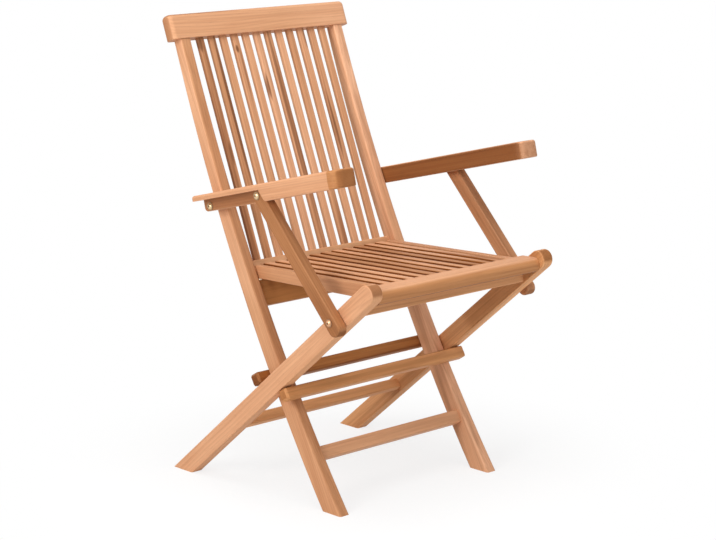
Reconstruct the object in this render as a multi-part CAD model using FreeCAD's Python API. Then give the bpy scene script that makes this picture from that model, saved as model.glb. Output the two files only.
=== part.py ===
import FreeCAD, Part
import math
import os

os.makedirs("parts", exist_ok=True)
V = FreeCAD.Vector

# Folding armchair in solid teak, drawn open and ready to sit on.
# Millimetres, +Z up, the sitter looks along -Y and the sitter's left is +X.
# The origin lies on the floor in the middle of the chair's footprint.

# Overall height and the place of the front feet
TOTAL_HEIGHT = 897.0
FRONT_FOOT_Y = -188.0

# Back stiles: one long curved board each side, from the front foot to the crest
STILE_OUTER_X = 210.5
STILE_THICK = 24.0
STILE_DEPTH_FOOT = 42.0
STILE_DEPTH_CREST = 24.0
STILE_LEAN = 0.716
STILE_BEND = -0.000272
STILE_EASE = 0.000000057
STILE_EDGE_ROUND = 4.0

# Crest rail
CREST_RISE = 44.0
CREST_THICK = 28.0
CREST_PROUD = 2.0
CREST_OVERHANG = 19.5
CREST_END_ROUND = 12.0
CREST_TOP_ROUND = 9.0
TENON_THICK = 12.0
TENON_LENGTH = 24.0
TENON_ROOT = 5.0

# Lower back rail
BACK_RAIL_Z = 405.4
BACK_RAIL_INSET = 18.2
BACK_RAIL_THICK = 12.0
BACK_RAIL_WIDTH = 90.6
BACK_RAIL_EDGE_ROUND = 2.0

# Upright slats of the back
BACK_SLAT_COUNT = 12
BACK_SLAT_END_GAP = 20.35
BACK_SLAT_WIDTH = 15.5
BACK_SLAT_THICK = 9.0
BACK_SLAT_CREST_INSET = 9.5
BACK_SLAT_HOUSED = 9.0
BACK_SLAT_EDGE_ROUND = 2.0

# Board that joins the front feet
FRONT_STRETCHER_Z = 106.5
FRONT_STRETCHER_INSET = 8.0
FRONT_STRETCHER_THICK = 20.0
FRONT_STRETCHER_WIDTH = 25.8
FRONT_STRETCHER_EDGE_ROUND = 3.0

# Stop bars across both faces of the stiles, the open legs come to rest on them
STOP_HEIGHT = 23.0
STOP_DEPTH = 24.0
STOP_FRONT_Z = 207.2
STOP_REAR_Z = 253.2
STOP_ROUND = 4.0
STOP_END_CHAMFER = 4.0
STOP_FIT = 0.1

# Seat frame, drawn flat with its rear pivot at zero and then tilted
SEAT_PIVOT = (80.3, 423.4)
SEAT_TILT = 2.3
SEAT_TOP = 8.5
SEAT_REAR_END = 6.0
SIDE_RAIL_UNDER_REAR = 15.0
SIDE_RAIL_UNDER_FRONT = 18.5
SIDE_RAIL_WIDTH = 16.5
SIDE_RAIL_GAP = 1.5
SIDE_RAIL_UPPER_ROUND = 6.0
SIDE_RAIL_LOWER_ROUND = 10.0
SIDE_RAIL_EDGE_ROUND = 2.0
REAR_CROSS_RAIL_THICK = 13.0
REAR_CROSS_RAIL_ROUND = 10.0
FRONT_RAIL_REACH = 330.3
FRONT_RAIL_WIDTH = 45.0
FRONT_RAIL_UNDER = 18.5
FRONT_RAIL_NOSE_ROUND = 13.0
FRONT_RAIL_LOWER_ROUND = 5.0
FRONT_RAIL_SET_BACK = 5.0
FRONT_RAIL_END_GAP = 1.0
SEAT_SLAT_COUNT = 11
SEAT_SLAT_END_GAP = 12.0
SEAT_SLAT_WIDTH = 18.0
SEAT_SLAT_THICK = 12.0
SEAT_SLAT_HOUSED = 8.0
SEAT_SLAT_SHOULDER = 3.0
SEAT_SLAT_EDGE_ROUND = 2.5
BATTEN_PLACES = (114.3, 224.3)
BATTEN_WIDTH = 30.0
BATTEN_THICK = 9.0
BATTEN_EDGE_ROUND = 2.0

# Leg frame, it turns on pins through the middle of the stiles
LEG_PIVOT_Z = 230.3
LEG_ANGLE = 39.9
LEG_GAP = 1.5
LEG_THICK = 26.5
LEG_WIDTH = 36.6
LEG_TOP_REACH = 343.5
LEG_EDGE_ROUND = 3.0
UPPER_STRETCHER_THICK = 17.0
UPPER_STRETCHER_HEIGHT = 25.0
UPPER_STRETCHER_EDGE_ROUND = 2.5
LOWER_STRETCHER_AT = 155.5
LOWER_STRETCHER_ALONG = 17.0
LOWER_STRETCHER_ACROSS = 21.5
LOWER_STRETCHER_EDGE_ROUND = 3.0

# Arms, drawn level with the arm pivot at zero and then tilted
ARM_PIVOT = (144.0, 545.0)
ARM_TILT = 14.0
ARM_GAP = 1.0
ARM_WIDTH = 56.5
ARM_TOP = 24.0
ARM_UNDER = 9.5
ARM_REAR = 19.0
ARM_FRONT = 396.0
ARM_LIP = 10.5
ARM_REBATE_PLAY = 0.8
ARM_REBATE_ROUND = 8.0
ARM_NOSE_OUTER_ROUND = 20.0
ARM_NOSE_INNER_ROUND = 16.0
ARM_REAR_ROUND = 8.0
ARM_EDGE_ROUND = 5.0
ARM_UNDER_EDGE_ROUND = 3.0

# Arm supports
SUPPORT_TOP = (168.8, 3.2)
SUPPORT_FOOT_BELOW_LEG_TOP = 91.0
SUPPORT_GAP = 1.0
SUPPORT_THICK = 22.0
SUPPORT_WIDTH = 28.0
SUPPORT_CROWN = 9.6
SUPPORT_TAPER = 18.0
SUPPORT_TAIL = 15.0
SUPPORT_EDGE_ROUND = 3.0

# Brass pivots and small fixings
PIN_RADIUS = 4.0
PIN_FIT = 0.05
PIN_BLIND = 10.0
SEAT_PIN_RADIUS = 3.0
SEAT_SPACER_RADIUS = 6.0
HEAD_RADIUS = 6.2
HEAD_HEIGHT = 3.4
WASHER_RADIUS = 8.0
WASHER_THICK = 1.2
SPACER_PLAY = 0.1
SCREW_RADIUS = 1.75
SCREW_HEAD_RADIUS = 3.6
SCREW_HEAD_HEIGHT = 2.2
SCREW_LENGTH = 17.0
BAR_SCREW_RADIUS = 2.4
BAR_SCREW_HEAD_RADIUS = 4.6
BAR_SCREW_LENGTH = 44.0
DOWEL_RADIUS = 4.0
DOWEL_LENGTH = 30.0

# Length that the feet have before they are cut level, and how close counts as equal
FOOT_TRIM = 40.0
CLOSE = 0.01

# Heights and reaches that follow from others
CREST_LOW_Z = TOTAL_HEIGHT - CREST_RISE
SUPPORT_FOOT_REACH = LEG_TOP_REACH - SUPPORT_FOOT_BELOW_LEG_TOP

# Layers side by side, from the stile outward
STILE_INNER_X = STILE_OUTER_X - STILE_THICK
LEG_INNER_X = STILE_OUTER_X + LEG_GAP
LEG_OUTER_X = LEG_INNER_X + LEG_THICK
ARM_INNER_X = STILE_OUTER_X + ARM_GAP
SUPPORT_INNER_X = LEG_OUTER_X + SUPPORT_GAP
SUPPORT_OUTER_X = SUPPORT_INNER_X + SUPPORT_THICK
SIDE_RAIL_OUTER_X = STILE_INNER_X - SIDE_RAIL_GAP
SIDE_RAIL_INNER_X = SIDE_RAIL_OUTER_X - SIDE_RAIL_WIDTH

# Directions down along an open leg and square to it
LEG_DOWN = (math.cos(math.radians(LEG_ANGLE)), -math.sin(math.radians(LEG_ANGLE)))
LEG_UP = (math.sin(math.radians(LEG_ANGLE)), math.cos(math.radians(LEG_ANGLE)))


def save(name, shape):
    shape.exportStep("parts/" + name + ".step")


def save_pair(name, shape):
    save("left_" + name, shape)
    save("right_" + name, mirrored(shape))


def mirrored(shape):
    return shape.mirror(V(0, 0, 0), V(1, 0, 0))


def both_sides(shape):
    return Part.makeCompound([shape, mirrored(shape)])


def shifted(point, direction, distance):
    return (point[0] + direction[0] * distance, point[1] + direction[1] * distance)


def plate(edges, x_from, x_to):
    """Solid between two X planes whose side view is bounded by the edges."""
    face = Part.Face(Part.Wire(Part.__sortEdges__(edges)))
    return face.extrude(V(x_to - x_from, 0, 0))


def line(start, end, x):
    return Part.makeLine(V(x, start[0], start[1]), V(x, end[0], end[1]))


def arc(start, middle, end, x):
    points = [V(x, p[0], p[1]) for p in (start, middle, end)]
    return Part.Arc(points[0], points[1], points[2]).toShape()


def polygon_plate(corners, x_from, x_to):
    pairs = zip(corners, corners[1:] + corners[:1])
    return plate([line(a, b, x_from) for a, b in pairs], x_from, x_to)


def smooth_curve(points, x):
    curve = Part.BSplineCurve()
    curve.interpolate([V(x, p[0], p[1]) for p in points])
    return curve.toShape()


def heading(start, end):
    """Distance and direction from one point of a side view to another."""
    size = math.hypot(end[0] - start[0], end[1] - start[1])
    return size, ((end[0] - start[0]) / size, (end[1] - start[1]) / size)


def long_edges(shape, direction, share=0.5):
    """Edges mostly along a direction, longer than a share of the shape's reach that way."""
    places = [vertex.Point.dot(direction) for vertex in shape.Vertexes]
    least = share * (max(places) - min(places))
    found = []
    for edge in shape.Edges:
        chord = edge.Vertexes[-1].Point - edge.Vertexes[0].Point
        if edge.Length > least and abs(chord.dot(direction)) > 0.9 * chord.Length:
            found.append(edge)
    return found


def spread(count, width, reach):
    """X places of the middles of boards spread evenly out to reach on both sides."""
    first = width / 2 - reach
    return [first - 2 * first * i / (count - 1) for i in range(count)]


def above_floor(shape):
    """The shape with all that reaches below the floor cut away."""
    ground = shape.BoundBox
    ground.enlarge(ground.XLength)
    corner = V(ground.XMin, ground.YMin, ground.ZMin)
    return shape.cut(Part.makeBox(ground.XLength, ground.YLength, -ground.ZMin, corner))


def side_faces(shape):
    return [f for f in shape.Faces if abs(f.normalAt(0, 0).x) > 0.99]


def rod_x(x_from, x_to, place, radius):
    centre = V(min(x_from, x_to), place[0], place[1])
    return Part.makeCylinder(radius, abs(x_to - x_from), centre, V(1, 0, 0))


def button_head(x, place, radius, height):
    """Low domed bolt head whose flat underside lies on the plane at x."""
    sphere = (radius * radius + height * height) / (2 * height)
    ball = Part.makeSphere(sphere, V(x + height - sphere, place[0], place[1]))
    return ball.common(rod_x(x, x + height, place, radius))


# Side view of a stile: its front edge and the directions along and across it
def stile_front(z):
    return FRONT_FOOT_Y + STILE_LEAN * z + STILE_BEND * z ** 2 + STILE_EASE * z ** 3


def stile_slope(z):
    return STILE_LEAN + 2 * STILE_BEND * z + 3 * STILE_EASE * z ** 2


def stile_along(z):
    size = math.hypot(stile_slope(z), 1)
    return (stile_slope(z) / size, 1 / size)


def stile_across(z):
    along = stile_along(z)
    return (along[1], -along[0])


def stile_depth(z):
    share = z / CREST_LOW_Z
    return STILE_DEPTH_FOOT + (STILE_DEPTH_CREST - STILE_DEPTH_FOOT) * share


def inside_stile(z, inset):
    return shifted((stile_front(z), z), stile_across(z), inset)


def stile_board(z, inset, thick, low, high, x_from, x_to):
    """Straight board that leans with the stiles, from low to high along them."""
    front = inside_stile(z, inset)
    rear = inside_stile(z, inset + thick)
    along = stile_along(z)
    corners = [shifted(front, along, low), shifted(front, along, high),
               shifted(rear, along, high), shifted(rear, along, low)]
    return polygon_plate(corners, x_from, x_to)


# Back stiles
def back_stile():
    steps = 9
    heights = [(CREST_LOW_Z + FOOT_TRIM) * i / steps - FOOT_TRIM for i in range(steps + 1)]
    front = [inside_stile(z, 0) for z in heights]
    rear = [inside_stile(z, stile_depth(z)) for z in heights]
    x = STILE_INNER_X
    edges = [smooth_curve(front, x), smooth_curve(rear, x),
             line(front[0], rear[0], x), line(front[-1], rear[-1], x)]
    board = plate(edges, x, STILE_OUTER_X)
    along = stile_along(CREST_LOW_Z / 2)
    board = board.makeFillet(STILE_EDGE_ROUND, long_edges(board, V(0, along[0], along[1])))
    board = above_floor(board).fuse(crest_tenon())
    board = board.cut(rod_x(x, x + PIN_BLIND, SEAT_PIVOT, SEAT_PIN_RADIUS + PIN_FIT))
    for place in (leg_pivot(), ARM_PIVOT):
        board = board.cut(rod_x(STILE_OUTER_X - PIN_BLIND, STILE_OUTER_X, place, PIN_RADIUS))
    board = board.cut(rear_bar_screw(bar_fixing_x()))
    return board.cut(front_bar_dowel(bar_fixing_x())).removeSplitter()


def crest_tenon():
    middle = (STILE_INNER_X + STILE_OUTER_X) / 2
    inset = (STILE_DEPTH_CREST - TENON_THICK) / 2
    return stile_board(CREST_LOW_Z, inset, TENON_THICK, -TENON_ROOT, TENON_LENGTH,
                       middle - TENON_THICK / 2, middle + TENON_THICK / 2)


# Crest rail
def crest_rail():
    along = stile_along(CREST_LOW_Z)
    half = STILE_OUTER_X + CREST_OVERHANG
    top_centre = inside_stile(CREST_LOW_Z, CREST_TOP_ROUND - CREST_PROUD)
    rise = (TOTAL_HEIGHT - CREST_TOP_ROUND - top_centre[1]) / along[1] + CREST_TOP_ROUND
    rail = stile_board(CREST_LOW_Z, -CREST_PROUD, CREST_THICK, 0, rise, -half, half)
    up = V(0, along[0], along[1])
    rail = rail.makeFillet(CREST_END_ROUND, long_edges(rail, up))
    highest = max(v.Point.dot(up) for v in rail.Vertexes)
    top = [e for e in rail.Edges if min(v.Point.dot(up) for v in e.Vertexes) > highest - CLOSE]
    rail = rail.makeFillet(CREST_TOP_ROUND, top)
    for cut in back_slats() + [crest_tenon(), mirrored(crest_tenon())]:
        rail = rail.cut(cut)
    return rail


# Lower back rail
def lower_back_rail():
    half = BACK_RAIL_WIDTH / 2
    rail = stile_board(BACK_RAIL_Z, BACK_RAIL_INSET, BACK_RAIL_THICK, -half, half,
                       -STILE_INNER_X, STILE_INNER_X)
    rail = rail.makeFillet(BACK_RAIL_EDGE_ROUND, long_edges(rail, V(1, 0, 0)))
    for slat in back_slats():
        rail = rail.cut(slat)
    return rail


# Upright slats of the back, straight boards let into the lower rail and the crest
def back_slats():
    low = inside_stile(BACK_RAIL_Z, BACK_RAIL_INSET + BACK_RAIL_THICK / 2)
    low = shifted(low, stile_along(BACK_RAIL_Z), (BACK_RAIL_WIDTH - BACK_SLAT_HOUSED) / 2)
    high = inside_stile(CREST_LOW_Z, BACK_SLAT_CREST_INSET)
    size, along = heading(low, high)
    across = (along[1], -along[0])
    half = BACK_SLAT_THICK / 2
    foot = shifted(low, along, -BACK_SLAT_HOUSED / 2)
    head = shifted(low, along, size + BACK_SLAT_HOUSED)
    corners = [shifted(foot, across, -half), shifted(head, across, -half),
               shifted(head, across, half), shifted(foot, across, half)]
    middles = spread(BACK_SLAT_COUNT, BACK_SLAT_WIDTH, STILE_INNER_X - BACK_SLAT_END_GAP)
    slats = []
    for middle in middles:
        x = middle - BACK_SLAT_WIDTH / 2
        slat = polygon_plate(corners, x, x + BACK_SLAT_WIDTH)
        rims = long_edges(slat, V(0, along[0], along[1]))
        slats.append(slat.makeFillet(BACK_SLAT_EDGE_ROUND, rims))
    return slats


# Board that joins the front feet
def front_stretcher():
    half = FRONT_STRETCHER_WIDTH / 2
    board = stile_board(FRONT_STRETCHER_Z, FRONT_STRETCHER_INSET, FRONT_STRETCHER_THICK,
                        -half, half, -STILE_INNER_X, STILE_INNER_X)
    return board.makeFillet(FRONT_STRETCHER_EDGE_ROUND, long_edges(board, V(1, 0, 0)))


# Stop bars and their fixings
def bar_fixing_x():
    return (STILE_INNER_X + STILE_OUTER_X) / 2


def stop_bar(z, inset):
    half = STOP_HEIGHT / 2
    bar = stile_board(z, inset, STOP_DEPTH, -half, half, -LEG_OUTER_X, LEG_OUTER_X)
    bar = bar.makeFillet(STOP_ROUND, long_edges(bar, V(1, 0, 0)))
    ends = [e for f in side_faces(bar) for e in f.OuterWire.Edges]
    return bar.makeChamfer(STOP_END_CHAMFER, ends)


def rear_bar_screw(x):
    across = stile_across(STOP_REAR_Z)
    head = inside_stile(STOP_REAR_Z, stile_depth(STOP_REAR_Z) + STOP_FIT + STOP_DEPTH)
    inward = V(0, -across[0], -across[1])
    start = V(x, head[0], head[1])
    shank = Part.makeCylinder(BAR_SCREW_RADIUS, BAR_SCREW_LENGTH, start, inward)
    cone = Part.makeCone(BAR_SCREW_HEAD_RADIUS, BAR_SCREW_RADIUS,
                         BAR_SCREW_HEAD_RADIUS - BAR_SCREW_RADIUS, start, inward)
    return shank.fuse(cone)


def front_bar_dowel(x):
    across = stile_across(STOP_FRONT_Z)
    middle = inside_stile(STOP_FRONT_Z, -DOWEL_LENGTH / 2)
    return Part.makeCylinder(DOWEL_RADIUS, DOWEL_LENGTH, V(x, middle[0], middle[1]),
                             V(0, across[0], across[1]))


def rear_stop_bar():
    bar = stop_bar(STOP_REAR_Z, stile_depth(STOP_REAR_Z) + STOP_FIT)
    return bar.cut(both_sides(rear_bar_screw(bar_fixing_x())))


def front_stop_bar():
    bar = stop_bar(STOP_FRONT_Z, -STOP_FIT - STOP_DEPTH)
    return bar.cut(both_sides(front_bar_dowel(bar_fixing_x())))


# Seat, every piece is drawn flat and then tilted about the rear pivot
def tilt_seat(shape):
    placed = shape.copy()
    placed.rotate(V(0, 0, 0), V(1, 0, 0), -SEAT_TILT)
    placed.translate(V(0, SEAT_PIVOT[0], SEAT_PIVOT[1]))
    return placed


def seat_side_rail():
    corners = [(SEAT_REAR_END, -SIDE_RAIL_UNDER_REAR), (SEAT_REAR_END, SEAT_TOP),
               (-FRONT_RAIL_REACH, SEAT_TOP), (-FRONT_RAIL_REACH, -SIDE_RAIL_UNDER_FRONT)]
    rail = polygon_plate(corners, SIDE_RAIL_INNER_X, SIDE_RAIL_OUTER_X)
    rail = rail.makeFillet(SIDE_RAIL_UPPER_ROUND, rear_edges(rail, SEAT_TOP))
    rail = rail.makeFillet(SIDE_RAIL_LOWER_ROUND, rear_edges(rail, -SIDE_RAIL_UNDER_REAR))
    rail = rail.makeFillet(SIDE_RAIL_EDGE_ROUND, long_edges(rail, V(0, 1, 0)))
    hole = rod_x(SIDE_RAIL_OUTER_X - PIN_BLIND, SIDE_RAIL_OUTER_X, (0, 0), SEAT_PIN_RADIUS)
    return rail.cut(hole)


def rear_edges(board, height):
    """Cross edges at the rear end of a seat board that lie at a height."""
    return [e for e in long_edges(board, V(1, 0, 0))
            if e.BoundBox.YMin > SEAT_REAR_END - CLOSE
            and abs(e.BoundBox.Center.z - height) < CLOSE]


def seat_slat_middles():
    return spread(SEAT_SLAT_COUNT, SEAT_SLAT_WIDTH, SIDE_RAIL_INNER_X - SEAT_SLAT_END_GAP)


def seat_slats():
    slats = []
    start = -FRONT_RAIL_REACH
    length = FRONT_RAIL_REACH + SEAT_REAR_END
    low = SEAT_TOP - SEAT_SLAT_THICK
    for middle in seat_slat_middles():
        x = middle - SEAT_SLAT_WIDTH / 2
        slat = Part.makeBox(SEAT_SLAT_WIDTH, length, SEAT_SLAT_THICK, V(x, start, low))
        upper = [e for e in long_edges(slat, V(0, 1, 0)) if e.BoundBox.ZMin > SEAT_TOP - CLOSE]
        slat = slat.makeFillet(SEAT_SLAT_EDGE_ROUND, upper + rear_edges(slat, SEAT_TOP))
        tongue = Part.makeBox(SEAT_SLAT_WIDTH - 2 * SEAT_SLAT_SHOULDER, SEAT_SLAT_HOUSED,
                              SEAT_SLAT_THICK - 2 * SEAT_SLAT_SHOULDER,
                              V(x + SEAT_SLAT_SHOULDER, start - SEAT_SLAT_HOUSED,
                                low + SEAT_SLAT_SHOULDER))
        slats.append(slat.fuse(tongue).removeSplitter())
    return slats


def seat_front_rail():
    rear = -FRONT_RAIL_REACH
    front = rear - FRONT_RAIL_WIDTH
    half = LEG_INNER_X - FRONT_RAIL_END_GAP
    corners = [(rear, -FRONT_RAIL_UNDER), (rear, SEAT_TOP), (front, SEAT_TOP),
               (front + FRONT_RAIL_SET_BACK, -FRONT_RAIL_UNDER)]
    rail = polygon_plate(corners, -half, half)
    ahead = [e for e in long_edges(rail, V(1, 0, 0)) if e.BoundBox.YMax < rear - CLOSE]
    rail = rail.makeFillet(FRONT_RAIL_NOSE_ROUND, [e for e in ahead if e.BoundBox.ZMin > 0])
    ahead = [e for e in long_edges(rail, V(1, 0, 0)) if e.BoundBox.YMax < rear - CLOSE]
    under = [e for e in ahead if e.BoundBox.ZMax < CLOSE - FRONT_RAIL_UNDER]
    rail = rail.makeFillet(FRONT_RAIL_LOWER_ROUND, under)
    for slat in seat_slats():
        rail = rail.cut(slat)
    return rail


def seat_rear_cross_rail():
    """Rail under the rear ends of the slats, between the side rails."""
    rail = Part.makeBox(2 * SIDE_RAIL_INNER_X, REAR_CROSS_RAIL_THICK,
                        SEAT_TOP - SEAT_SLAT_THICK + SIDE_RAIL_UNDER_REAR,
                        V(-SIDE_RAIL_INNER_X, SEAT_REAR_END - REAR_CROSS_RAIL_THICK,
                          -SIDE_RAIL_UNDER_REAR))
    return rail.makeFillet(REAR_CROSS_RAIL_ROUND, rear_edges(rail, -SIDE_RAIL_UNDER_REAR))


def seat_batten(place):
    low = SEAT_TOP - SEAT_SLAT_THICK - BATTEN_THICK
    batten = Part.makeBox(2 * SIDE_RAIL_INNER_X, BATTEN_WIDTH, BATTEN_THICK,
                          V(-SIDE_RAIL_INNER_X, -place - BATTEN_WIDTH / 2, low))
    under = [e for e in long_edges(batten, V(1, 0, 0)) if e.BoundBox.ZMax < low + CLOSE]
    batten = batten.makeFillet(BATTEN_EDGE_ROUND, under)
    return batten.cut(batten_screws(place))


def batten_screws(place):
    low = SEAT_TOP - SEAT_SLAT_THICK - BATTEN_THICK
    screws = []
    for middle in seat_slat_middles():
        foot = V(middle, -place, low)
        shank = Part.makeCylinder(SCREW_RADIUS, SCREW_LENGTH, foot)
        head = Part.makeCone(SCREW_HEAD_RADIUS, SCREW_RADIUS, SCREW_HEAD_HEIGHT, foot)
        screws.append(shank.fuse(head))
    return Part.makeCompound(screws)


def seat_pivot_pins():
    far = STILE_INNER_X + PIN_BLIND
    pin = rod_x(SIDE_RAIL_OUTER_X - PIN_BLIND, far, (0, 0), SEAT_PIN_RADIUS)
    spacer = rod_x(SIDE_RAIL_OUTER_X, STILE_INNER_X - SPACER_PLAY, (0, 0), SEAT_SPACER_RADIUS)
    return both_sides(pin.fuse(spacer))


# Leg frame
def leg_pivot():
    return inside_stile(LEG_PIVOT_Z, stile_depth(LEG_PIVOT_Z) / 2)


def leg_point(along, up):
    """Point of an open leg's side view, measured from its pivot down to the foot."""
    return shifted(shifted(leg_pivot(), LEG_DOWN, along), LEG_UP, up)


def rear_leg():
    half = LEG_WIDTH / 2
    below = leg_pivot()[1] / -LEG_DOWN[1] + FOOT_TRIM
    top = -LEG_TOP_REACH
    x = LEG_INNER_X
    edges = [line(leg_point(top, half), leg_point(below, half), x),
             line(leg_point(below, half), leg_point(below, -half), x),
             line(leg_point(below, -half), leg_point(top, -half), x),
             arc(leg_point(top, -half), leg_point(top - half, 0), leg_point(top, half), x)]
    leg = plate(edges, x, LEG_OUTER_X)
    rim = [e for f in side_faces(leg) for e in f.OuterWire.Edges if e.BoundBox.ZMax > 0]
    leg = leg.makeFillet(LEG_EDGE_ROUND, rim)
    leg = above_floor(leg)
    return leg.cut(rod_x(x, x + 2 * PIN_BLIND, leg_pivot(), PIN_RADIUS + PIN_FIT))


def leg_upper_stretcher():
    """Board on which the front end of the seat rests."""
    rear = UPPER_STRETCHER_THICK - FRONT_RAIL_REACH
    low = -SIDE_RAIL_UNDER_FRONT - UPPER_STRETCHER_HEIGHT
    corners = [(-FRONT_RAIL_REACH, low), (-FRONT_RAIL_REACH, -SIDE_RAIL_UNDER_FRONT),
               (rear, -SIDE_RAIL_UNDER_FRONT), (rear, low)]
    board = polygon_plate(corners, -LEG_INNER_X, LEG_INNER_X)
    rims = long_edges(board, V(1, 0, 0))
    return tilt_seat(board.makeFillet(UPPER_STRETCHER_EDGE_ROUND, rims))


def leg_lower_stretcher():
    near = LOWER_STRETCHER_AT - LOWER_STRETCHER_ALONG / 2
    far = LOWER_STRETCHER_AT + LOWER_STRETCHER_ALONG / 2
    half = LOWER_STRETCHER_ACROSS / 2
    corners = [leg_point(near, half), leg_point(far, half),
               leg_point(far, -half), leg_point(near, -half)]
    bar = polygon_plate(corners, -LEG_INNER_X, LEG_INNER_X)
    return bar.makeFillet(LOWER_STRETCHER_EDGE_ROUND, long_edges(bar, V(1, 0, 0)))


def leg_pivot_pins():
    pin = rod_x(STILE_OUTER_X - PIN_BLIND, LEG_INNER_X + 2 * PIN_BLIND, leg_pivot(), PIN_RADIUS)
    spacer = rod_x(STILE_OUTER_X, LEG_INNER_X - SPACER_PLAY, leg_pivot(), WASHER_RADIUS)
    return both_sides(pin.fuse(spacer))


# Arms, drawn level and pointing to -Y, then tilted about the arm pivot
def tilt_arm(shape):
    placed = shape.copy()
    placed.rotate(V(0, 0, 0), V(1, 0, 0), -ARM_TILT)
    placed.translate(V(0, ARM_PIVOT[0], ARM_PIVOT[1]))
    return placed


def arm_point(forward, up):
    turn = math.radians(ARM_TILT)
    y = ARM_PIVOT[0] - forward * math.cos(turn) + up * math.sin(turn)
    return (y, ARM_PIVOT[1] + forward * math.sin(turn) + up * math.cos(turn))


def arm():
    length = ARM_REAR + ARM_FRONT
    thick = ARM_TOP + ARM_UNDER
    board = Part.makeBox(ARM_WIDTH, length, thick, V(ARM_INNER_X, -ARM_FRONT, -ARM_UNDER))
    for outer, ahead, radius in ((True, True, ARM_NOSE_OUTER_ROUND),
                                 (False, True, ARM_NOSE_INNER_ROUND),
                                 (True, False, ARM_REAR_ROUND)):
        corner = [e for e in long_edges(board, V(0, 0, 1))
                  if (e.BoundBox.Center.x > ARM_INNER_X + ARM_WIDTH / 2) == outer
                  and (e.BoundBox.Center.y < 0) == ahead
                  and e.BoundBox.XLength + e.BoundBox.YLength < CLOSE]
        board = board.makeFillet(radius, corner)
    board = board.cut(arm_rebate())
    ends = [e for e in long_edges(board, V(1, 0, 0), 0.3)
            if e.BoundBox.ZMax < CLOSE - ARM_UNDER and e.BoundBox.YMin > CLOSE - ARM_FRONT]
    board = board.makeFillet(ARM_REBATE_ROUND, ends)
    rims = [e for e in board.Edges if e.BoundBox.ZMin > ARM_TOP - CLOSE]
    board = board.makeFillet(ARM_EDGE_ROUND, rims)
    below = [e for e in board.Edges if e.BoundBox.ZMax < CLOSE - ARM_UNDER]
    board = board.makeFillet(ARM_UNDER_EDGE_ROUND, below)
    board = board.cut(rod_x(ARM_INNER_X, LEG_OUTER_X, (0, 0), PIN_RADIUS + PIN_FIT))
    place = (-SUPPORT_TOP[0], SUPPORT_TOP[1])
    return board.cut(rod_x(LEG_OUTER_X - 2 * PIN_BLIND, LEG_OUTER_X, place, PIN_RADIUS))


def arm_rebate():
    """Room under the outer lip, its front wall follows the edge of the support."""
    down = math.radians(support_angle())
    wall = shifted(SUPPORT_TOP, (math.sin(down), math.cos(down)),
                   SUPPORT_WIDTH / 2 + ARM_REBATE_PLAY)
    ceiling = ARM_TOP - ARM_LIP
    floor = -ARM_UNDER - ARM_TOP

    def wall_at(height):
        return (-wall[0] - (wall[1] - height) / math.tan(down), height)

    corners = [wall_at(ceiling), wall_at(floor), (2 * ARM_REAR, floor), (2 * ARM_REAR, ceiling)]
    return polygon_plate(corners, LEG_OUTER_X, LEG_OUTER_X + ARM_WIDTH)


# Arm supports
def support_frame():
    """Ends of a support, the distance between them and the directions along and across."""
    top = arm_point(SUPPORT_TOP[0], SUPPORT_TOP[1])
    foot = leg_point(-SUPPORT_FOOT_REACH, 0)
    size, down = heading(top, foot)
    return top, foot, size, down, (-down[1], down[0])


def support_angle():
    """Angle between the arm and the support of the open chair, in degrees."""
    down = support_frame()[3]
    return math.degrees(math.atan2(-down[1], -down[0])) + ARM_TILT


def arm_support():
    top, foot, size, down, side = support_frame()
    half = SUPPORT_WIDTH / 2
    turn = math.radians(90 - SUPPORT_TAPER)
    x = SUPPORT_INNER_X

    def at(along, across):
        return shifted(shifted(top, down, along), side, across)

    crown = [at(-SUPPORT_CROWN * math.cos(k * turn), SUPPORT_CROWN * math.sin(k * turn))
             for k in (-1, 0, 1)]
    shoulder = (half - SUPPORT_CROWN * math.sin(turn)) * math.tan(turn)
    shoulder -= SUPPORT_CROWN * math.cos(turn)
    tail = size + SUPPORT_TAIL
    edges = [arc(crown[0], crown[1], crown[2], x),
             line(crown[2], at(shoulder, half), x),
             line(at(shoulder, half), at(tail, half), x),
             arc(at(tail, half), at(tail + half, 0), at(tail, -half), x),
             line(at(tail, -half), at(shoulder, -half), x),
             line(at(shoulder, -half), crown[0], x)]
    post = plate(edges, x, SUPPORT_OUTER_X)
    sides = [e for f in side_faces(post) for e in f.OuterWire.Edges if e.Length > SUPPORT_WIDTH]
    post = post.makeFillet(SUPPORT_EDGE_ROUND, sides)
    post = post.cut(rod_x(x, SUPPORT_OUTER_X, top, PIN_RADIUS + PIN_FIT))
    return post.cut(rod_x(x, SUPPORT_OUTER_X, foot, PIN_RADIUS))


# Brass bolts
def bolt(x_from, x_face, place):
    shank = rod_x(x_from, x_face, place, PIN_RADIUS)
    washer = rod_x(x_face, x_face + WASHER_THICK, place, WASHER_RADIUS)
    head = button_head(x_face + WASHER_THICK, place, HEAD_RADIUS, HEAD_HEIGHT)
    return shank.fuse(washer).fuse(head)


def arm_pivot_bolts():
    spacer = rod_x(STILE_OUTER_X, ARM_INNER_X - SPACER_PLAY, ARM_PIVOT, WASHER_RADIUS)
    one = bolt(STILE_OUTER_X - PIN_BLIND, LEG_OUTER_X + SPACER_PLAY, ARM_PIVOT)
    return both_sides(one.fuse(spacer))


def support_top_bolt():
    place = arm_point(SUPPORT_TOP[0], SUPPORT_TOP[1])
    return bolt(LEG_OUTER_X - 2 * PIN_BLIND, SUPPORT_OUTER_X + SPACER_PLAY, place)


def support_foot_bolt():
    foot = leg_point(-SUPPORT_FOOT_REACH, 0)
    return bolt(SUPPORT_INNER_X, SUPPORT_OUTER_X, foot)


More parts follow.
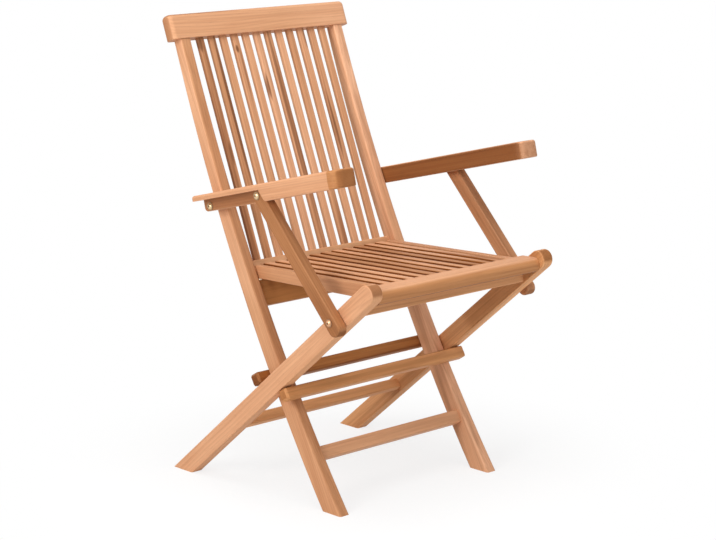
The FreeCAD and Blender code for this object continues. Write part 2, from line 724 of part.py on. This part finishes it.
save_pair("back_stile", back_stile())
save("crest_rail", crest_rail())
save("lower_back_rail", lower_back_rail())
for number, slat in enumerate(back_slats(), 1):
    save("back_slat_%02d" % number, slat)
save("front_stretcher", front_stretcher())
save("front_stop_bar", front_stop_bar())
save("rear_stop_bar", rear_stop_bar())
save("rear_bar_screws", both_sides(rear_bar_screw(bar_fixing_x())))
save("front_bar_dowels", both_sides(front_bar_dowel(bar_fixing_x())))

save_pair("seat_side_rail", tilt_seat(seat_side_rail()))
save("seat_front_rail", tilt_seat(seat_front_rail()))
save("seat_rear_cross_rail", tilt_seat(seat_rear_cross_rail()))
for number, place in enumerate(BATTEN_PLACES, 1):
    save("seat_batten_%d" % number, tilt_seat(seat_batten(place)))
    save("batten_screws_%d" % number, tilt_seat(batten_screws(place)))
for number, slat in enumerate(seat_slats(), 1):
    drilled = slat
    for place in BATTEN_PLACES:
        drilled = drilled.cut(batten_screws(place))
    save("seat_slat_%02d" % number, tilt_seat(drilled))
save("seat_pivot_pins", tilt_seat(seat_pivot_pins()))
save("leg_pivot_pins", leg_pivot_pins())

save_pair("rear_leg", rear_leg())
save("leg_upper_stretcher", leg_upper_stretcher())
save("leg_lower_stretcher", leg_lower_stretcher())

save_pair("arm", tilt_arm(arm()))
save_pair("arm_support", arm_support())
save("arm_pivot_bolts", arm_pivot_bolts())
save_pair("support_top_bolt", support_top_bolt())
save_pair("support_foot_bolt", support_foot_bolt())
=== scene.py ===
import math

import bmesh
import bpy
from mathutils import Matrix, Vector


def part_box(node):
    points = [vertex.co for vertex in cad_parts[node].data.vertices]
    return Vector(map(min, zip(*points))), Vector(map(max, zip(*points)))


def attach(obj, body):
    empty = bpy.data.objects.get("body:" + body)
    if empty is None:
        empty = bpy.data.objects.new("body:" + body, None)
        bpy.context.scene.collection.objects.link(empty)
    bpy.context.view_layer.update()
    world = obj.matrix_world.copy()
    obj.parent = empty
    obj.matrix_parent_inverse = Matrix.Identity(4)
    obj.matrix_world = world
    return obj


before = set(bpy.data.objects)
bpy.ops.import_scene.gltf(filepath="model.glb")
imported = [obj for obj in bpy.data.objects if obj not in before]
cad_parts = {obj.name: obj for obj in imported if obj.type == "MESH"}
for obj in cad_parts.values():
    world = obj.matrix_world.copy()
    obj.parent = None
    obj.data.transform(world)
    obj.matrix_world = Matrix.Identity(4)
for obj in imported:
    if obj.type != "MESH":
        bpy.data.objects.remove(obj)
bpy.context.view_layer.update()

# Studio: a plain pale floor that turns white away from the chair, one large soft window to
# the sitter's right, one above, a weak one in front, and an even sky. The chair stands on the
# floor and is seen from its front right corner, a little above seat height.
scene = bpy.context.scene
scene.view_settings.view_transform = "Standard"

CAMERA_PLACE = (-2.7651, -2.9560, 1.2777)
CAMERA_AIM = (-0.0245, -0.0380, 0.4179)
SENSOR_WIDTH = 36.0
LENS_LENGTH = 107.24
SEAT_MIDDLE = (0, 0, 0.45)
SEAT_UNDERSIDE = (0, 0, 0.35)


def turn_toward(thing, place, aim):
    """Stands a camera or a lamp at place and turns it to look at aim."""
    scene.collection.objects.link(thing)
    thing.location = place
    thing.rotation_euler = (Vector(aim) - Vector(place)).to_track_quat("-Z", "Y").to_euler()


camera = bpy.data.objects.new("camera", bpy.data.cameras.new("camera"))
turn_toward(camera, CAMERA_PLACE, CAMERA_AIM)
camera.data.sensor_width = SENSOR_WIDTH
camera.data.lens = LENS_LENGTH
scene.camera = camera


def window(name, place, aim, side, watts):
    """A soft square light, side metres wide and high."""
    lamp = bpy.data.objects.new(name, bpy.data.lights.new(name, "AREA"))
    turn_toward(lamp, place, aim)
    lamp.data.shape = "SQUARE"
    lamp.data.size = side
    lamp.data.energy = watts


window("window_right", place=(-3.4, -0.4, 1.9), aim=SEAT_MIDDLE, side=1.8, watts=80)
window("window_above", place=(-0.5, -0.7, 3.4), aim=SEAT_MIDDLE, side=2.2, watts=62)
window("window_front", place=(0.8, -3.6, 1.2), aim=SEAT_UNDERSIDE, side=2.0, watts=17)


class Reading:
    """A value read at every point of a surface: one socket of a material's node tree."""

    def __init__(self, tree, socket):
        self.tree = tree
        self.socket = socket

    def node(self, kind, settings, inputs, output=0):
        """Adds one node. Its settings come first, then a value or a link for each socket."""
        made = self.tree.nodes.new(kind)
        for setting, value in settings.items():
            setattr(made, setting, value)
        for entry, value in inputs.items():
            if isinstance(value, Reading):
                self.tree.links.new(value.socket, made.inputs[entry])
            else:
                made.inputs[entry].default_value = value
        return Reading(self.tree, made.outputs[output])

    def reckon(self, operation, first, second):
        return self.node("ShaderNodeMath", {"operation": operation}, {0: first, 1: second})

    def __add__(self, other):
        return self.reckon("ADD", self, other)

    def __radd__(self, other):
        return self.reckon("ADD", other, self)

    def __sub__(self, other):
        return self.reckon("SUBTRACT", self, other)

    def __rsub__(self, other):
        return self.reckon("SUBTRACT", other, self)

    def __mul__(self, other):
        return self.reckon("MULTIPLY", self, other)

    def __rmul__(self, other):
        return self.reckon("MULTIPLY", other, self)

    def __truediv__(self, other):
        return self.reckon("DIVIDE", self, other)

    def __pow__(self, other):
        return self.reckon("POWER", self, other)


def new_material(name):
    """An empty material, its tree, its shader and a first reading to add nodes from."""
    material = bpy.data.materials.new(name)
    material.use_nodes = True
    tree = material.node_tree
    shader = tree.nodes["Principled BSDF"]
    start = Reading(tree, None)
    return material, tree, shader, start


FLOOR_PALE = 0.75
FLOOR_SEEN_PALER = 0.21
FLOOR_ROUGHNESS = 0.9
DUST_PALE = 0.02
DUST_SCALE = 9.0
FLOOR_KEEPS_SHADOW = 0.22
FLOOR_FADES_FROM = 0.3
FLOOR_WHITE_FROM = 0.7
FLOOR_REACH = 9
SKY_LIGHT = 0.36
WHITE = (1, 1, 1, 1)


def seen_directly(start):
    """1 for what the eye sees straight, in a mirror or through glass, 0 where light is gathered."""
    seen = start.node("ShaderNodeLightPath", {}, {}, "Is Camera Ray")
    mirrored = start.node("ShaderNodeLightPath", {}, {}, "Is Glossy Ray")
    refracted = start.node("ShaderNodeLightPath", {}, {}, "Is Transmission Ray")
    return seen + mirrored + refracted


def floor_material():
    """Matt pale floor: it keeps the chair's shadow near the feet and turns white further out."""
    material, tree, shader, start = new_material("studio_floor")
    shader.inputs["Roughness"].default_value = FLOOR_ROUGHNESS
    dust = start.node("ShaderNodeTexNoise", {}, {"Scale": DUST_SCALE, "Detail": 3.0})
    pale = FLOOR_PALE + seen_directly(start) * FLOOR_SEEN_PALER + dust * DUST_PALE
    tree.links.new(pale.socket, shader.inputs["Base Color"])
    glow = start.node("ShaderNodeEmission", {}, {"Color": WHITE, "Strength": 1.0})
    spot = start.node("ShaderNodeTexCoord", {}, {}, "Object")
    far = start.node("ShaderNodeVectorMath", {"operation": "LENGTH"}, {0: spot}, "Value")
    fade = start.node("ShaderNodeMapRange", {"interpolation_type": "SMOOTHSTEP"},
                      {"Value": far, "From Min": FLOOR_FADES_FROM, "From Max": FLOOR_WHITE_FROM})
    white = seen_directly(start) * (1 - (1 - fade) * FLOOR_KEEPS_SHADOW)
    matt = Reading(tree, shader.outputs[0])
    mixed = start.node("ShaderNodeMixShader", {}, {0: white, 1: matt, 2: glow})
    tree.links.new(mixed.socket, tree.nodes["Material Output"].inputs["Surface"])
    return material


def studio_world():
    """An even sky that is white where it is seen or mirrored and softer where it only lights."""
    world = bpy.data.worlds.new("studio_sky")
    world.use_nodes = True
    tree = world.node_tree
    start = Reading(tree, None)
    strength = SKY_LIGHT + seen_directly(start) * (1 - SKY_LIGHT)
    sky = tree.nodes["Background"]
    sky.inputs["Color"].default_value = WHITE
    tree.links.new(strength.socket, sky.inputs["Strength"])
    return world


scene.world = studio_world()
floor_mesh = bpy.data.meshes.new("floor")
floor_mesh.from_pydata([(-FLOOR_REACH, -FLOOR_REACH, 0), (FLOOR_REACH, -FLOOR_REACH, 0),
                        (FLOOR_REACH, FLOOR_REACH, 0), (-FLOOR_REACH, FLOOR_REACH, 0)], [], [(0, 1, 2, 3)])
floor = bpy.data.objects.new("floor", floor_mesh)
scene.collection.objects.link(floor)
floor_mesh.materials.append(floor_material())


# Back stiles: two long curved boards of planed and oiled teak, sawn from straight planks, so
# the grain runs straight while the outline curves. Their long edges are rounded over and painted
# paler, partly as wear from handling and partly as a painted highlight. Every other board of the
# chair is the same timber.
def stain(red, green, blue):
    """A colour as a paint chart gives it, 0 to 255, turned to the light it reflects."""
    def linear(part):
        part = part / 255
        return part / 12.92 if part < 0.04045 else ((part + 0.055) / 1.055) ** 2.4
    return linear(red), linear(green), linear(blue), 1


TEAK_HONEY = stain(226, 171, 131)
TEAK_TAN = stain(207, 149, 109)
TEAK_BROWN = stain(140, 86, 50)
TEAK_PORE = stain(116, 68, 38)
TEAK_SCAR = stain(112, 66, 34)
TEAK_END = stain(158, 104, 66)
RING_WIDTH = 0.0042
RING_WANDER = 0.03
RING_SWAY = 0.7
PORE_LENGTH = 0.018
PORE_WIDTH = 0.00045
LATE_WOOD_SHADE = 0.14
FIBRE_SHADE = 0.46
PORE_SHADE = 0.35
EDGE_WEAR_AND_HIGHLIGHT = 0.22
END_GRAIN_SHADE = 0.62
OILED_ROUGHNESS = 0.58
OILED_SHINE = 0.22
GRAIN_RELIEF = 0.2
GRAIN_DEPTH = 0.0004


def teak(name, along, middle, tone=1.0, warm=0.0, streaks=0.3, heart=(0.05, 0.03), patches=(),
         scars=()):
    """Teak for one board. along is the way its grain runs, middle a point inside it, tone its
    lightness, warm how yellow-brown it is, streaks how much dark heartwood it shows, and heart
    how far the tree's centre lies from the board, sideways and outward. A patch is a tone laid
    over the board, on the faces that look one way, from one place to another, or both; most
    patches are painted shade or painted light, a few are wood of another tone. Each scar is a
    dark streak: its place along and aside, its reach, its width and its strength."""
    material, tree, shader, start = new_material(name)
    grain_way = Vector(along).normalized()
    side_way = Vector((0, 0, 1)) if abs(grain_way.x) > 0.5 else Vector((1, 0, 0))
    face_way = grain_way.cross(side_way)

    place = start.node("ShaderNodeTexCoord", {}, {}, "Object")
    normal = start.node("ShaderNodeTexCoord", {}, {}, "Normal")
    inside = start.node("ShaderNodeVectorMath", {"operation": "SUBTRACT"},
                        {0: place, 1: Vector(middle)})

    def toward(vector, way):
        return start.node("ShaderNodeVectorMath", {"operation": "DOT_PRODUCT"},
                          {0: vector, 1: way}, "Value")

    length = toward(inside, grain_way)
    side = toward(inside, side_way)
    depth = toward(inside, face_way)

    def noise(per_length, per_side, detail, shift):
        """Cloudy noise that is drawn out along the grain, so many times a metre each way."""
        spot = start.node("ShaderNodeCombineXYZ", {},
                          {0: length * per_length + shift, 1: side * per_side, 2: depth * per_side})
        return start.node("ShaderNodeTexNoise", {},
                          {"Vector": spot, "Scale": 1.0, "Detail": detail, "Roughness": 0.6})

    def ease(value, low, high):
        return start.node("ShaderNodeMapRange", {"interpolation_type": "SMOOTHSTEP"},
                          {"Value": value, "From Min": low, "From Max": high})

    def blend(share, first, second, how="MIX"):
        return start.node("ShaderNodeMix", {"data_type": "RGBA", "blend_type": how},
                          {0: share, 6: first, 7: second}, 2)

    # No two boards are cut from the same wood, so each reads the noise from its own place.
    cut_from = 10 * (middle[0] + 2 * middle[1] + 3 * middle[2])
    wander = noise(1.6, 9.0, 2.0, cut_from) - 0.5
    sway = noise(6.0, 60.0, 2.0, cut_from + 5) - 0.5
    across = side + heart[0] + wander * RING_WANDER
    outward = depth + heart[1] + length * 0.012
    ring_place = (across * across + outward * outward) ** 0.5 / RING_WIDTH + sway * RING_SWAY
    ring = start.node("ShaderNodeMath", {"operation": "FRACT"}, {0: ring_place})
    late_wood = ease(ring, 0.3, 0.95) * (1 - ease(ring, 0.95, 1.0))

    fibre = noise(14.0, 1300.0, 3.0, cut_from)
    figure = noise(3.0, 150.0, 4.0, cut_from + 20)
    cloud = noise(4.0, 24.0, 2.0, cut_from + 30)
    pore = ease(noise(1 / PORE_LENGTH, 1 / PORE_WIDTH, 1.0, cut_from + 40), 0.66, 0.78)
    heartwood = ease(noise(1.8, 60.0, 3.0, cut_from + 60) + streaks * 0.30, 0.58, 0.80)

    facing_end = toward(normal, grain_way)
    facing_side = toward(normal, side_way)
    facing_out = toward(normal, face_way)
    end_grain = ease(facing_end * facing_end, 0.45, 0.75)
    squareness = facing_side ** 4 + facing_out ** 4 + facing_end ** 4
    rounded = ease(1 - squareness, 0.12, 0.45)

    timber = blend(ease(figure * 0.6 + cloud * 0.4, 0.3, 0.7), TEAK_TAN, TEAK_HONEY)
    timber = blend(late_wood * LATE_WOOD_SHADE + (0.5 - fibre) * FIBRE_SHADE, timber, TEAK_BROWN)
    timber = blend(heartwood * streaks, timber, TEAK_BROWN)
    timber = blend(pore * PORE_SHADE, timber, TEAK_PORE)
    # Rounded edges are painted paler: partly wear from handling, partly a painted highlight.
    timber = blend(rounded * EDGE_WEAR_AND_HIGHLIGHT, timber, TEAK_HONEY)
    timber = blend(end_grain * END_GRAIN_SHADE, timber, TEAK_END)
    for at, aside, reach, width, strength in scars:
        off_length = (length - at + wander * 0.02) / reach
        off_side = (side - aside + sway * 0.004) / width
        scar = ease(1 - off_length * off_length - off_side * off_side, 0.0, 0.9)
        timber = blend(scar * strength, timber, TEAK_SCAR)
    # Patches: painted shade and painted light, and in a few places wood of another tone.
    for patch in patches:
        share = 1.0
        if "facing" in patch:
            share = ease(toward(normal, Vector(patch["facing"])), 0.45, 0.85) * share
        if "way" in patch:
            reached = toward(inside, Vector(patch["way"])) + sway * 0.004
            share = ease(reached, patch["starts"], patch["ends"]) * share
        timber = blend(share, timber, tone_tint(patch["tone"], patch.get("warm", 0.0)), "MULTIPLY")
    stained = blend(1.0, timber, tone_tint(tone, warm), "MULTIPLY")
    tree.links.new(stained.socket, shader.inputs["Base Color"])

    dullness = OILED_ROUGHNESS + (0.5 - fibre) * 0.16 + end_grain * 0.2 - rounded * 0.06 + pore * 0.1
    tree.links.new(dullness.socket, shader.inputs["Roughness"])
    relief = fibre * 0.5 + late_wood * 0.12 - pore * 0.9
    bump = start.node("ShaderNodeBump", {},
                      {"Strength": GRAIN_RELIEF, "Distance": GRAIN_DEPTH, "Height": relief})
    tree.links.new(bump.socket, shader.inputs["Normal"])
    shader.inputs["Specular IOR Level"].default_value = OILED_SHINE
    return material


def tone_tint(tone, warm):
    """What a board's lightness does to its colour: darker teak is also redder and deeper, and
    oiled heartwood is a warmer, yellower brown. The patches' painted shade and painted light
    take their colour from it too, so painted shade is redder and deeper in the same way."""
    return tone * (1 + 0.1 * warm), tone ** 1.35, tone ** 1.9 * (1 - 0.35 * warm), 1


def coat(node, material):
    """Puts a material on a CAD board or fastener in place of its plain one."""
    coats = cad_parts[node].data.materials
    coats.clear()
    coats.append(material)


def finish_board(node, along, **look):
    """Gives one CAD board its own teak, read from the board's own middle."""
    low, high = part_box(node)
    coat(node, teak("teak_" + node, along, (low + high) / 2, **look))


STILE_RISE = (0, 0.465, 0.885)
STILE_FRONT = (0, -0.885, 0.465)
TO_THE_RIGHT = (-1, 0, 0)
TO_THE_LEFT = (1, 0, 0)
UPWARD = (0, 0, 1)
DOWNWARD = (0, 0, -1)
# Painted light and shade on the stiles: the left front face is painted paler and the right front face
# darker, as the light falls on them; the left front face is darker round seat height, as the seat's shade;
# the right outer face is darker below the seat, and the right stile is paler higher up.
finish_board("left_back_stile", STILE_RISE, tone=1.03, streaks=0.42, heart=(0.04, 0.05), patches=(
    {"facing": STILE_FRONT, "tone": 1.14},
    {"facing": STILE_FRONT, "way": DOWNWARD, "starts": -0.22, "ends": -0.05, "tone": 0.82},
    {"facing": STILE_FRONT, "way": DOWNWARD, "starts": 0.02, "ends": 0.06, "tone": 1.18}))
finish_board("right_back_stile", STILE_RISE, tone=0.98, streaks=0.3, heart=(0.05, 0.03), patches=(
    {"facing": STILE_FRONT, "tone": 0.77},
    {"facing": TO_THE_RIGHT, "way": DOWNWARD, "starts": 0.02, "ends": 0.09, "tone": 0.87},
    {"way": UPWARD, "starts": 0.12, "ends": 0.35, "tone": 1.05}))

# Crest rail: one thick board that caps the stiles and takes their tenons and the slats. Its
# front face is quarter sawn and pale, its ends overhang the stiles and show end grain.
ACROSS = (1, 0, 0)
CREST_TOP = (0, 0.352, 0.936)
# Painted shade: the crest's top face is darker towards its right end, along the top edge.
finish_board("crest_rail", ACROSS, tone=0.94, streaks=0.12, heart=(0.09, 0.02), patches=(
    {"facing": CREST_TOP, "way": TO_THE_RIGHT, "starts": 0.0, "ends": 0.12, "tone": 0.6},
    {"way": TO_THE_LEFT, "starts": 0.04, "ends": 0.2, "tone": 1.1}))

# Lower back rail: a wide thin board housed between the stiles behind the seat. Teak, plain
# sawn, glued on its tenons. Its dark, warm tone is painted shade where the seat shades it,
# and the band above the seat is painted paler, as lit wood.
finish_board("lower_back_rail", ACROSS, tone=0.7, warm=0.8, streaks=0.3, heart=(0.03, 0.06), patches=(
    {"way": STILE_RISE, "starts": 0.008, "ends": 0.020, "tone": 1.35, "warm": -1.0},))

# Back slats: twelve thin straight strips of teak, let into grooves of both rails. They come
# from different planks, so some are pale and some brown heartwood with darker streaks.
SLAT_RISE = (0, 0.3707, 0.9287)
BACK_SLAT_TONES = (0.78, 0.76, 0.87, 0.9, 0.95, 1.04, 0.88, 1.01, 0.87, 0.97, 0.92, 0.9)
BACK_SLAT_STREAKS = (0.7, 0.5, 0.2, 0.45, 0.25, 0.4, 0.6, 0.15, 0.6, 0.3, 0.6, 0.3)
# Dark streaks by slat: place along and aside, reach and width in metres, and strength.
BACK_SLAT_SCARS = {
    1: ((0.210, -0.004, 0.020, 0.006, 0.75), (0.120, 0.004, 0.110, 0.004, 0.25),
        (-0.012, 0.002, 0.030, 0.004, 0.6)),
    2: ((0.080, 0.004, 0.210, 0.005, 0.75),),
    4: ((0.196, -0.003, 0.010, 0.005, 0.85), (0.150, 0.003, 0.060, 0.003, 0.4)),
    6: ((0.112, -0.006, 0.035, 0.003, 0.85),),
    7: ((0.080, -0.003, 0.260, 0.005, 0.5), (-0.050, 0.004, 0.150, 0.004, 0.3)),
    10: ((0.204, 0.006, 0.030, 0.004, 0.7),),
    11: ((0.015, -0.005, 0.085, 0.004, 0.75),),
}
for number, tone in enumerate(BACK_SLAT_TONES):
    finish_board(f"back_slat_{number + 1:02d}", SLAT_RISE, tone=tone, streaks=BACK_SLAT_STREAKS[number],
                 heart=(0.02 + 0.004 * number, 0.03), scars=BACK_SLAT_SCARS.get(number + 1, ()))

# Front stretcher: a flat teak board low above the floor. It is tenoned and glued between the
# front feet and keeps them apart.
finish_board("front_stretcher", ACROSS, tone=1.02, warm=0.1, streaks=0.3, heart=(0.05, 0.04))

# Stop bars: two square bars across the stiles that the open legs lean on. Browner teak, the
# front one held by dowels, the rear one by screws. Their dark, warm tones are partly painted
# shade under the seat. The front bar's top face is painted darker and the bar darkens towards
# its right end; the rear bar's right end is darker as a painted shadow of the leg.
DOWEL_RUN = (0, 0.9, 0.4)
finish_board("front_stop_bar", ACROSS, tone=0.93, warm=0.65, streaks=0.45, heart=(0.02, 0.05), patches=(
    {"facing": STILE_RISE, "tone": 0.65},
    {"way": TO_THE_RIGHT, "starts": 0.0, "ends": 0.14, "tone": 0.86}))
finish_board("rear_stop_bar", ACROSS, tone=0.57, warm=0.85, streaks=0.6, heart=(0.03, 0.03), patches=(
    {"way": TO_THE_RIGHT, "starts": 0.18, "ends": 0.21, "tone": 0.72},))
finish_board("front_bar_dowels", DOWEL_RUN, tone=0.95, streaks=0.2)

# Seat frame: two side rails, a thick rounded front rail, a cross rail at the back and two
# battens under the slats. Teak boards, tongued and screwed together.
SEAT_RUN = (0, -0.9992, 0.0401)
finish_board("left_seat_side_rail", SEAT_RUN, tone=0.92, streaks=0.3, heart=(0.03, 0.05))
finish_board("right_seat_side_rail", SEAT_RUN, tone=0.84, streaks=0.08, heart=(0.05, 0.03))
# Painted shade: the front rail's front face and underside are darker and warmer.
finish_board("seat_front_rail", ACROSS, tone=0.98, streaks=0.12, heart=(0.04, 0.06), patches=(
    {"facing": SEAT_RUN, "tone": 0.75, "warm": 0.45},
    {"facing": DOWNWARD, "tone": 0.35, "warm": 0.8}))
finish_board("seat_rear_cross_rail", ACROSS, tone=0.92, streaks=0.3)
finish_board("seat_batten_1", ACROSS, tone=0.95, streaks=0.3)
finish_board("seat_batten_2", ACROSS, tone=0.92, streaks=0.35)

# Seat slats: eleven flat strips with rounded top edges, tongued into the front rail and
# screwed to the battens from below. Their tones differ from plank to plank, and the narrow
# sides between them are painted dark, as the shade in the gaps.
SEAT_DOWN = (0, -0.0401, -0.9992)
# Painted shade in the gaps: the slats' sides below the rounded top, and faces turned to the sitter's
# right, are darker.
SHADED_SIDES = ({"way": SEAT_DOWN, "starts": -0.0061, "ends": -0.0050, "tone": 0.42, "warm": 1.0},
                {"facing": TO_THE_RIGHT, "tone": 0.6, "warm": 0.5})
SEAT_SLAT_TONES = (0.96, 1.0, 1.03, 0.9, 0.72, 0.8, 1.05, 0.94, 0.68, 1.02, 0.99)
for number, tone in enumerate(SEAT_SLAT_TONES):
    finish_board(f"seat_slat_{number + 1:02d}", SEAT_RUN, tone=tone,
                 streaks=0.25 + 0.05 * (number % 4), heart=(0.03, 0.02 + 0.003 * number),
                 patches=SHADED_SIDES)

# Leg frame: two long straight rear legs that cross outside the stiles, with a stretcher under
# the seat's front and one low between them. Straight-grained teak, tenoned and glued.
LEG_RISE = (0, -0.7672, 0.6414)
LEG_UNDERSIDE = (0, -0.6414, -0.7672)
# Painted light and shade on the legs: the top end faces are darker, the undersides paler as light thrown
# up from the floor, and the left leg's inner face darker towards its top. The stretchers' warm tones are
# partly painted shade.
finish_board("left_rear_leg", LEG_RISE, tone=0.96, warm=0.5, streaks=0.4, heart=(0.03, 0.03), patches=(
    {"facing": LEG_RISE, "tone": 0.75},
    {"facing": TO_THE_RIGHT, "way": LEG_RISE, "starts": 0.09, "ends": 0.12, "tone": 0.82},
    {"facing": LEG_UNDERSIDE, "tone": 1.2, "warm": 0.2}))
finish_board("right_rear_leg", LEG_RISE, tone=0.97, streaks=0.15, heart=(0.06, 0.04), patches=(
    {"facing": LEG_RISE, "tone": 0.8},
    {"facing": LEG_UNDERSIDE, "tone": 1.1, "warm": 0.3}))
finish_board("leg_upper_stretcher", ACROSS, tone=0.97, warm=0.5, streaks=0.3)
finish_board("leg_lower_stretcher", ACROSS, tone=1.03, warm=0.6, streaks=0.3)

# Arms: shaped boards with a rebate on the outer side for the support, rounded noses that show
# end grain, and a top worn smooth. The supports swing in the rebates and hold the arms up.
ARM_RUN = (0, -0.9703, 0.2419)
SUPPORT_DROP = (0, -0.7053, -0.7089)
# Painted shade on the arms: the left arm's inner face is painted dark, and the face in the right arm's
# rebate darker. The left arm's nose is paler and the right arm's nose darker.
finish_board("left_arm", ARM_RUN, tone=0.95, streaks=0.4, heart=(0.03, 0.05), patches=(
    {"facing": TO_THE_RIGHT, "tone": 0.39, "warm": 0.3},
    {"facing": ARM_RUN, "tone": 1.3}))
finish_board("right_arm", ARM_RUN, tone=0.97, streaks=0.2, heart=(0.04, 0.06), patches=(
    {"facing": TO_THE_RIGHT, "way": TO_THE_LEFT, "starts": -0.010, "ends": -0.002, "tone": 0.62},
    {"way": ARM_RUN, "starts": 0.1850, "ends": 0.1872, "tone": 0.7, "warm": 0.5}))
finish_board("left_arm_support", SUPPORT_DROP, tone=0.77, streaks=0.4, heart=(0.03, 0.04))
NEAR_SUPPORT_PATCHES = (
    {"facing": TO_THE_RIGHT, "tone": 0.93},
    {"facing": TO_THE_RIGHT, "way": SUPPORT_DROP, "starts": 0.02, "ends": 0.11, "tone": 0.85})
finish_board("right_arm_support", SUPPORT_DROP, tone=0.6, warm=0.15, streaks=0.35, heart=(0.04, 0.03),
             patches=NEAR_SUPPORT_PATCHES)

# Bolts, pins and screws: turned brass, bright on the raised heads and dull brown round the
# edges. The bolts' heads have a small round recess for a driver, painted dark as the shade
# inside it.
BRASS_BRIGHT = stain(244, 222, 182)
BRASS_WARM = stain(214, 172, 124)
BRASS_DARK_BROWN = stain(92, 62, 34)
BRASS_CLOUDS = 420.0
POLISHED_ROUGHNESS = 0.24
BOLT_RECESS = 0.0021
BOLT_RIM = 0.0052
RIM_WIDTH = 0.0016
RECESS_DEPTH = 0.0006


def brass(name, axis=None, bright=BRASS_BRIGHT, warm=BRASS_WARM, metal=0.9):
    """Brass for one kind of bolt or pin. axis is a point on the bolt's own centre line, which
    runs across the chair."""
    material, tree, shader, start = new_material(name)
    place = start.node("ShaderNodeTexCoord", {}, {}, "Object")
    cloud = start.node("ShaderNodeTexNoise", {}, {"Vector": place, "Scale": BRASS_CLOUDS, "Detail": 3.0})
    colour = start.node("ShaderNodeMix", {"data_type": "RGBA"}, {0: cloud, 6: bright, 7: warm}, 2)
    dullness = POLISHED_ROUGHNESS + cloud * 0.2
    if axis:
        spoke = start.node("ShaderNodeVectorMath", {"operation": "MULTIPLY_ADD"},
                           {0: place, 1: (0, 1, 1), 2: (0, -axis[1], -axis[2])})
        reach = start.node("ShaderNodeVectorMath", {"operation": "LENGTH"}, {0: spoke}, "Value")
        recess = reach.reckon("LESS_THAN", reach, BOLT_RECESS)
        rim = start.node("ShaderNodeMapRange", {},
                         {"Value": reach, "From Min": BOLT_RIM, "From Max": BOLT_RIM + RIM_WIDTH})
        # The recess is painted dark brown as painted shade; the ring round the head's edge is darker brown
        # too.
        recess_shade_and_rim = recess * 0.85 + rim * 0.6
        colour = start.node("ShaderNodeMix", {"data_type": "RGBA"}, {0: recess_shade_and_rim, 6: colour, 7: BRASS_DARK_BROWN}, 2)
        dullness = dullness + recess_shade_and_rim * 0.3
        bump = start.node("ShaderNodeBump", {},
                          {"Strength": 0.6, "Distance": RECESS_DEPTH, "Height": 1 - recess})
        tree.links.new(bump.socket, shader.inputs["Normal"])
    tree.links.new(colour.socket, shader.inputs["Base Color"])
    tree.links.new(dullness.socket, shader.inputs["Roughness"])
    shader.inputs["Metallic"].default_value = metal
    return material


COPPERY_BRIGHT = stain(244, 200, 160)
COPPERY_WARM = stain(198, 132, 90)
for node in ("arm_pivot_bolts", "left_support_top_bolt", "right_support_top_bolt"):
    low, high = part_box(node)
    coat(node, brass("brass_" + node, (low + high) / 2))
for node in ("left_support_foot_bolt", "right_support_foot_bolt"):
    low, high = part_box(node)
    coat(node, brass("brass_" + node, (low + high) / 2, COPPERY_BRIGHT, COPPERY_WARM))
plain_brass = brass("plain_brass")
for node in ("leg_pivot_pins", "seat_pivot_pins", "batten_screws_1", "batten_screws_2", "rear_bar_screws"):
    coat(node, plain_brass)

# Rest pins: a small round-nosed brass pin driven into each stile's inner face, just under the
# seat's side rail. Cut from 3 mm rod, it stands about 7 mm off the wood.
REST_PIN_PLACE = (0.0645, 0.4071)
PIN_OUTLINE = ((0.0015, 0.0), (0.0015, 0.0062), (0.0013, 0.0067), (0.0009, 0.0070), (0.0004, 0.0071))
PIN_SUNK = 0.0004
PIN_SIDES = 24
# The rest pins' brass is painted almost white and only partly metallic: a painted glint that keeps them
# bright in the rail's shade.
PIN_PAINTED_GLINT_PALE = stain(255, 244, 222)
PIN_PAINTED_GLINT_WARM = stain(240, 214, 176)
pin_brass_painted_glint = brass("pin_brass_painted_glint", bright=PIN_PAINTED_GLINT_PALE, warm=PIN_PAINTED_GLINT_WARM, metal=0.3)


def rest_pin(name, face, inward):
    """A round pin that lies across the chair, its foot sunk in the stile's face."""
    corners = []
    faces = []
    for radius, height in PIN_OUTLINE:
        for step in range(PIN_SIDES):
            turn = 2 * math.pi * step / PIN_SIDES
            corners.append((face + inward * (height - PIN_SUNK),
                            REST_PIN_PLACE[0] + radius * math.cos(turn),
                            REST_PIN_PLACE[1] + radius * math.sin(turn)))
    rows = len(PIN_OUTLINE)
    for row in range(rows - 1):
        for step in range(PIN_SIDES):
            after = (step + 1) % PIN_SIDES
            faces.append((row * PIN_SIDES + step, row * PIN_SIDES + after,
                          (row + 1) * PIN_SIDES + after, (row + 1) * PIN_SIDES + step))
    faces.append(tuple(range(PIN_SIDES)))
    faces.append(tuple(range((rows - 1) * PIN_SIDES, rows * PIN_SIDES)))
    mesh = bpy.data.meshes.new(name)
    mesh.from_pydata(corners, [], faces)
    mesh.validate()
    shell = bmesh.new()
    shell.from_mesh(mesh)
    bmesh.ops.recalc_face_normals(shell, faces=shell.faces)
    shell.to_mesh(mesh)
    shell.free()
    mesh.shade_smooth()
    mesh.materials.append(pin_brass_painted_glint)
    pin = bpy.data.objects.new(name, mesh)
    scene.collection.objects.link(pin)
    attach(pin, "back_frame")


rest_pin("rest_pin_left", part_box("left_back_stile")[0].x, -1)
rest_pin("rest_pin_right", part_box("right_back_stile")[1].x, 1)
